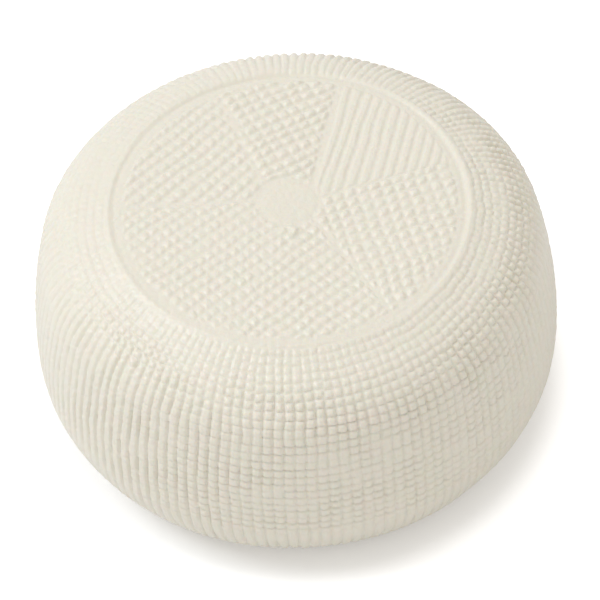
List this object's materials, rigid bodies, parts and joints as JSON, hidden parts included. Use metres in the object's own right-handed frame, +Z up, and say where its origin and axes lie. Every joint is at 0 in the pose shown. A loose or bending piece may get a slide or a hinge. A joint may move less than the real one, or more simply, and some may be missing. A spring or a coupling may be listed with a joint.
{
  "type": "moulded ricotta round",
  "caption": "Squat round of fresh ricotta turned out of its basket mould, with ribbed and beaded walls and a recessed patterned disc on top.",
  "frame": {"origin": "middle of the flat base, at the surface it rests on", "axes": "+Z up along the round's axis, -Y towards the side that the picture shows in front, +X to its right"},
  "size_m": [0.16, 0.16, 0.0817],
  "materials": {
    "curd": "moist matte fresh cheese, off-white"
  },
  "bodies": {
    "root": {"ricotta_round": "curd"}
  },
  "joints": []
}
